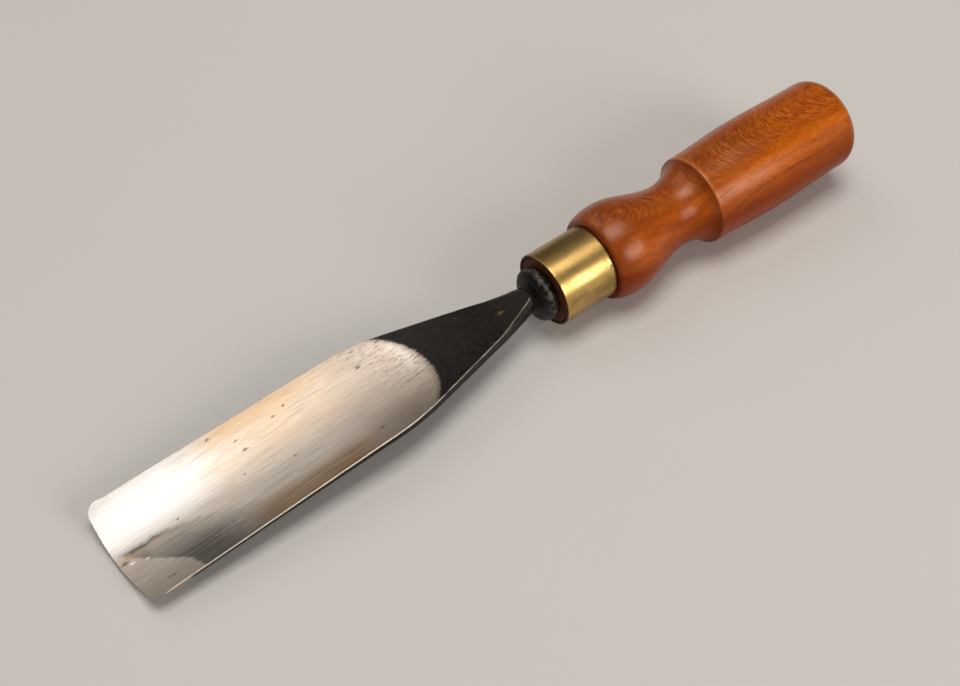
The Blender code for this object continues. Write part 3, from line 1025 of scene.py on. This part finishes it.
def aged_brass(pose):
    """Satin brass with marks of polishing round it, patina at the back, painted shade on its lower
    and far sides, and a brown front rim.
    """
    g = Graph("aged_brass", pose)
    cloud = g.grain((0.16, 0.20, 0.20), 4, 0.6)
    marks = g.grain((6.0, 0.12, 0.12), 3, 0.7, shift=2.0)
    speck = g.grain((1.3, 1.3, 1.3), 4, 0.65, shift=4.0)
    colour = g.mix(g.between(cloud, 0.3, 0.7), (0.82, 0.55, 0.20), (0.62, 0.395, 0.125))
    colour = g.mix(g.between(marks, 0.4, 0.8, 0.0, 0.45), colour, (0.42, 0.28, 0.10))
    back = g.between(g.x, -15.0, -21.5)
    patina = g.product(g.math("MAXIMUM", back, 0.07), g.between(speck, 0.48, 0.66))
    colour = g.mix(g.product(patina, 0.8), colour, (0.14, 0.08, 0.025))
    # Painted shade: darker on the lower side and on the far side.
    shade = g.math("MAXIMUM", g.between(g.z, 7.0, 3.5), g.between(g.y, 1.0, -3.0))
    darker = g.product(shade, g.between(cloud, 0.3, 0.7, 0.45, 0.75))
    colour = g.mix(darker, colour, (0.27, 0.17, 0.060))
    # Brown and not metal: the inside of the tube at its front, and the front rim except at the
    # top.
    across = g.math("ADD", g.math("MULTIPLY", g.y, g.y), g.math("MULTIPLY", g.z, g.z))
    reach = g.math("ADD", g.math("SQRT", across), g.between(g.z, 10.5, 12.5, 0.0, 0.45))
    inner = g.product(g.between(g.x, -0.9, -0.3), g.between(reach, 13.38, 13.26))
    rim = g.product(g.between(g.x, -0.22, -0.10), g.between(g.z, 12.4, 10.5))
    front = g.math("MAXIMUM", inner, rim)
    colour = g.mix(front, colour, (0.085, 0.028, 0.010))
    rough = g.between(cloud, 0.3, 0.7, 0.26, 0.35)
    rough = g.math("ADD", rough, g.product(g.math("MAXIMUM", patina, front), 0.28))
    relief = g.bump(marks, 0.00002, 0.22, g.bump(speck, 0.00005, 0.12))
    g.set(
        Base_Color=colour,
        Metallic=g.blend(front, 1.0, 0.0),
        Roughness=rough,
        Normal=relief,
    )
    return g.material


def ray_fleck(g, radius):
    """Ray sheets lie nearly flat in the wood, and the round surface cuts them into nested arcs."""
    behind = g.math("SMOOTH_MAX", g.math("SUBTRACT", -45.0, g.x), 0.0, 6.0)
    drift = g.math("MULTIPLY", g.grain((0.05, 0.05, 0.05), 2, 0.5, shift=3.0), 2.0)
    sheet = g.math("ADD", g.math("MULTIPLY_ADD", behind, 0.24, g.z), drift)
    place = g.joined(g.x, g.y, sheet)
    lines = g.grain((0.16, 0.26, 5.2), 3, 0.7, point=place, shift=1.0)
    slant = g.math("DIVIDE", g.math("ABSOLUTE", g.y), radius)
    patch = g.between(g.grain((0.06, 0.10, 0.10), 2, 0.5, shift=6.0), 0.30, 0.55, 0.35, 1.0)
    band = g.product(g.between(slant, 0.70, 0.20, 0.12, 1.0), patch)
    return lines, band


def growth_rings(g):
    """Faint rings about a pith line that lies to the far side of the handle."""
    wander = g.math("MULTIPLY", g.grain((0.03, 0.08, 0.08), 3, 0.6, shift=8.0), 5.0)
    aside = g.math("POWER", g.math("ADD", g.y, 48.0), 2.0)
    above = g.math("POWER", g.math("ADD", g.z, -9.0), 2.0)
    pith = g.math("SQRT", g.math("ADD", aside, above))
    return g.math("SINE", g.math("MULTIPLY", g.math("ADD", pith, wander), 2.1))


def wood_tone_and_shade(g, radius):
    """The wood before its figure, darkened by painted shade far away, below, round the bulb and
    towards each end.
    """
    tone = g.grain((0.022, 0.14, 0.14), 4, 0.6)
    colour = g.mix(g.between(tone, 0.28, 0.72), (0.56, 0.104, 0.002), (0.90, 0.208, 0.003))
    # Painted shade: darker towards the bottom.
    low = g.between(g.math("MULTIPLY_ADD", tone, 9.0, g.z), 16.0, 5.0)
    colour = g.mix(g.product(low, 0.85), colour, (0.215, 0.020, 0.0005))
    # Painted shade on the far side.
    aside = g.math("MULTIPLY_ADD", tone, 0.30, g.math("DIVIDE", g.y, radius))
    far = g.product(g.between(aside, 0.79, 0.60), g.between(g.x, -104.0, -88.0, 0.26, 0.54))
    colour = g.mix(far, colour, (0.26, 0.040, 0.001))
    # Painted shade round the bulb, except on its near side.
    bulb = g.product(g.between(aside, 1.05, 0.75), window(g, g.x, -46.0, -36.0, -26.0, -18.0))
    colour = g.mix(g.product(bulb, 0.40), colour, (0.22, 0.030, 0.001))
    # Painted shade on the near side just behind the ferrule, and low down towards the butt.
    front = g.product(g.between(g.x, -33.0, -24.0), g.between(g.y, 5.0, 14.0), 0.60)
    butt = g.product(g.between(g.x, -96.0, -124.0), g.between(g.z, 15.0, 5.0), 0.40)
    return g.mix(g.math("MAXIMUM", front, butt), colour, (0.17, 0.014, 0.0005))


def wood_marks(g, radius, colour):
    """A short crack and a long faint line on the barrel, and a painted highlight on the worn upper
    edge of the ridge.
    """
    crack_y = g.math("MULTIPLY_ADD", g.x, 0.09, 18.8)
    crack = g.product(
        window(g, g.x, -77.0, -72.0, -67.6, -67.2),
        g.between(g.math("ABSOLUTE", g.math("SUBTRACT", g.y, crack_y)), 0.18, 0.07),
        g.between(g.z, 4.0, 6.0),
    )
    colour = g.mix(g.product(crack, 0.8), colour, (0.03, 0.008, 0.001))
    line_y = g.between(g.x, -86.0, -66.0, 15.7, 16.35)
    line = g.product(
        window(g, g.x, -126.0, -119.0, -70.0, -66.5),
        g.between(g.math("ABSOLUTE", g.math("SUBTRACT", g.y, line_y)), 0.24, 0.08),
        g.between(g.z, 1.0, 3.0),
    )
    colour = g.mix(g.product(line, 0.36), colour, (0.10, 0.020, 0.001))
    # A painted highlight on the worn upper edge of the ridge.
    rubbed_edge_highlight = window(g, g.x, -68.8, -67.7, -67.0, -66.3)
    rubbed_edge_highlight = g.product(rubbed_edge_highlight, g.between(radius, 16.2, 16.6), g.between(g.z, 8.0, 13.0))
    return g.mix(g.product(rubbed_edge_highlight, 0.30), colour, (0.85, 0.30, 0.06))


def fruitwood(pose):
    """Pear-like wood: orange-brown, with fine pores, faint rings, and ray fleck along the top."""
    g = Graph("fruitwood", pose)
    across = g.math("ADD", g.math("MULTIPLY", g.y, g.y), g.math("MULTIPLY", g.z, g.z))
    radius = g.math("MAXIMUM", g.math("SQRT", across), 1.0)
    colour = wood_tone_and_shade(g, radius)
    mottle = g.grain((0.40, 1.0, 1.0), 4, 0.7, shift=13.0)
    colour = g.mix(g.between(mottle, 0.40, 0.66, 0.0, 0.42), colour, (0.32, 0.052, 0.001))
    flour = g.grain((1.1, 2.8, 2.8), 3, 0.7, shift=15.0)
    colour = g.mix(g.between(flour, 0.42, 0.66, 0.0, 0.40), colour, (0.30, 0.050, 0.001))
    rings = g.between(growth_rings(g), 0.1, 1.0, 0.0, 0.20)
    colour = g.mix(rings, colour, (0.28, 0.042, 0.001))
    lines, band = ray_fleck(g, radius)
    light = g.product(band, g.between(lines, 0.52, 0.63), g.between(g.x, -64.0, -48.0, 0.55, 0.34))
    dark = g.product(band, g.between(lines, 0.49, 0.39), 0.72)
    colour = g.mix(light, colour, (0.76, 0.27, 0.045))
    colour = g.mix(dark, colour, (0.17, 0.030, 0.002))
    pores = g.grain((0.45, 4.4, 4.4), 2, 0.6, shift=5.0)
    colour = g.mix(g.between(pores, 0.57, 0.70, 0.0, 0.65), colour, (0.12, 0.020, 0.001))
    # End grain is darker; on the cove's steep face this darkening also serves as painted shade.
    end_grain_and_shade = g.between(g.math("ABSOLUTE", g.normal_x), 0.30, 0.90)
    colour = g.mix(g.product(end_grain_and_shade, 0.62), colour, (0.17, 0.026, 0.001))
    colour = wood_marks(g, radius, colour)
    soot = g.between(g.grain((0.8, 0.8, 0.8), 4, 0.65, shift=9.0), 0.35, 0.65)
    stained = g.mix(soot, (0.15, 0.045, 0.012), (0.050, 0.016, 0.006))
    nose = g.between(g.x, -1.6, -0.6)
    colour = g.mix(g.product(nose, 0.96), colour, stained)
    rough = g.between(g.grain((0.1, 0.5, 0.5), 3, 0.6, shift=7.0), 0.3, 0.7, 0.24, 0.33)
    rough = g.math("ADD", rough, g.product(nose, 0.35))
    polish = g.product(
        g.between(g.x, -98.0, -76.0, 0.40, 0.66),
        g.between(g.z, 10.0, 3.0, 1.0, 0.22),
    )
    relief = g.bump(g.product(lines, band), 0.00010, 0.35)
    relief = g.bump(flour, 0.00006, 0.25, relief)
    g.set(
        Base_Color=colour,
        Roughness=rough,
        Normal=g.bump(pores, 0.00006, 0.40, relief),
        Specular_IOR_Level=g.blend(nose, polish, 0.25),
        Specular_Tint=(1.0, 0.74, 0.60),
    )
    return g.material


def pale_floor():
    g = Graph("pale_floor")
    cloud = g.grain((0.004, 0.004, 0.004), 3, 0.6)
    g.set(
        Base_Color=g.mix(cloud, (0.78, 0.77, 0.75), (0.82, 0.81, 0.79)),
        Roughness=0.75,
    )
    return g.material


# ---------------------------------------------------------------- stage


def add_floor():
    form = bmesh.new()
    bmesh.ops.create_grid(form, x_segments=1, y_segments=1, size=FLOOR_SIZE / 2)
    mesh = bpy.data.meshes.new("floor")
    form.to_mesh(mesh)
    form.free()
    mesh.materials.append(pale_floor())
    floor = bpy.data.objects.new("floor", mesh)
    floor.location.z = FLOOR_Z
    bpy.context.scene.collection.objects.link(floor)


def add_camera():
    back = Vector((
        math.cos(CAMERA_ELEVATION) * math.cos(CAMERA_AZIMUTH),
        math.cos(CAMERA_ELEVATION) * math.sin(CAMERA_AZIMUTH),
        math.sin(CAMERA_ELEVATION),
    ))
    data = bpy.data.cameras.new("camera")
    data.sensor_width = SENSOR_WIDTH
    data.lens = FOCAL_LENGTH
    data.clip_start = 0.01
    camera = bpy.data.objects.new("camera", data)
    camera.location = Vector(CAMERA_TARGET) + CAMERA_DISTANCE * back
    camera.rotation_mode = "QUATERNION"
    turn = (-back).to_track_quat("-Z", "Y")
    camera.rotation_quaternion = turn @ Quaternion((0, 0, 1), CAMERA_ROLL)
    bpy.context.scene.collection.objects.link(camera)
    bpy.context.scene.camera = camera


def add_soft_box(name, azimuth, elevation, distance, width, height, radiance):
    """A rectangular light that faces the object, placed by its direction from the origin."""
    azimuth, elevation = math.radians(azimuth), math.radians(elevation)
    away = Vector((
        math.cos(elevation) * math.cos(azimuth),
        math.cos(elevation) * math.sin(azimuth),
        math.sin(elevation),
    ))
    data = bpy.data.lights.new(name, "AREA")
    data.shape = "RECTANGLE"
    data.size = width
    data.size_y = height
    data.color = WARM_WHITE
    data.energy = radiance * math.pi * width * height
    light = bpy.data.objects.new(name, data)
    light.location = away * distance
    light.rotation_mode = "QUATERNION"
    light.rotation_quaternion = (-away).to_track_quat("-Z", "Y")
    bpy.context.scene.collection.objects.link(light)


def light_scene():
    """Soft boxes overhead and low on the near side, and a dim wide one behind the tool."""
    add_soft_box("overhead", 180, 88, distance=2.0, width=0.95, height=1.25, radiance=4.6)
    add_soft_box("near_side", 112, 26, distance=2.0, width=1.00, height=0.84, radiance=4.8)
    add_soft_box("far_side", -84, 46, distance=2.4, width=1.40, height=1.40, radiance=0.85)
    world = bpy.data.worlds.new("studio")
    world.use_nodes = True
    background = world.node_tree.nodes["Background"]
    background.inputs["Color"].default_value = (1.0, 0.96, 0.92, 1.0)
    background.inputs["Strength"].default_value = 0.14
    bpy.context.scene.world = world
    bpy.context.scene.view_settings.view_transform = "Standard"


def main():
    pose = tool_pose()
    ferrule_low, ferrule_high = extent("ferrule", pose)
    handle_low, _ = extent("handle", pose)
    length, radius = -ferrule_low.x, ferrule_high.y
    make_blade(pose)
    make_ferrule(pose, length, radius)
    make_handle(pose, handle_low.x, -length - GAP, radius - FERRULE_WALL - GAP)
    add_floor()
    add_camera()
    light_scene()


main()
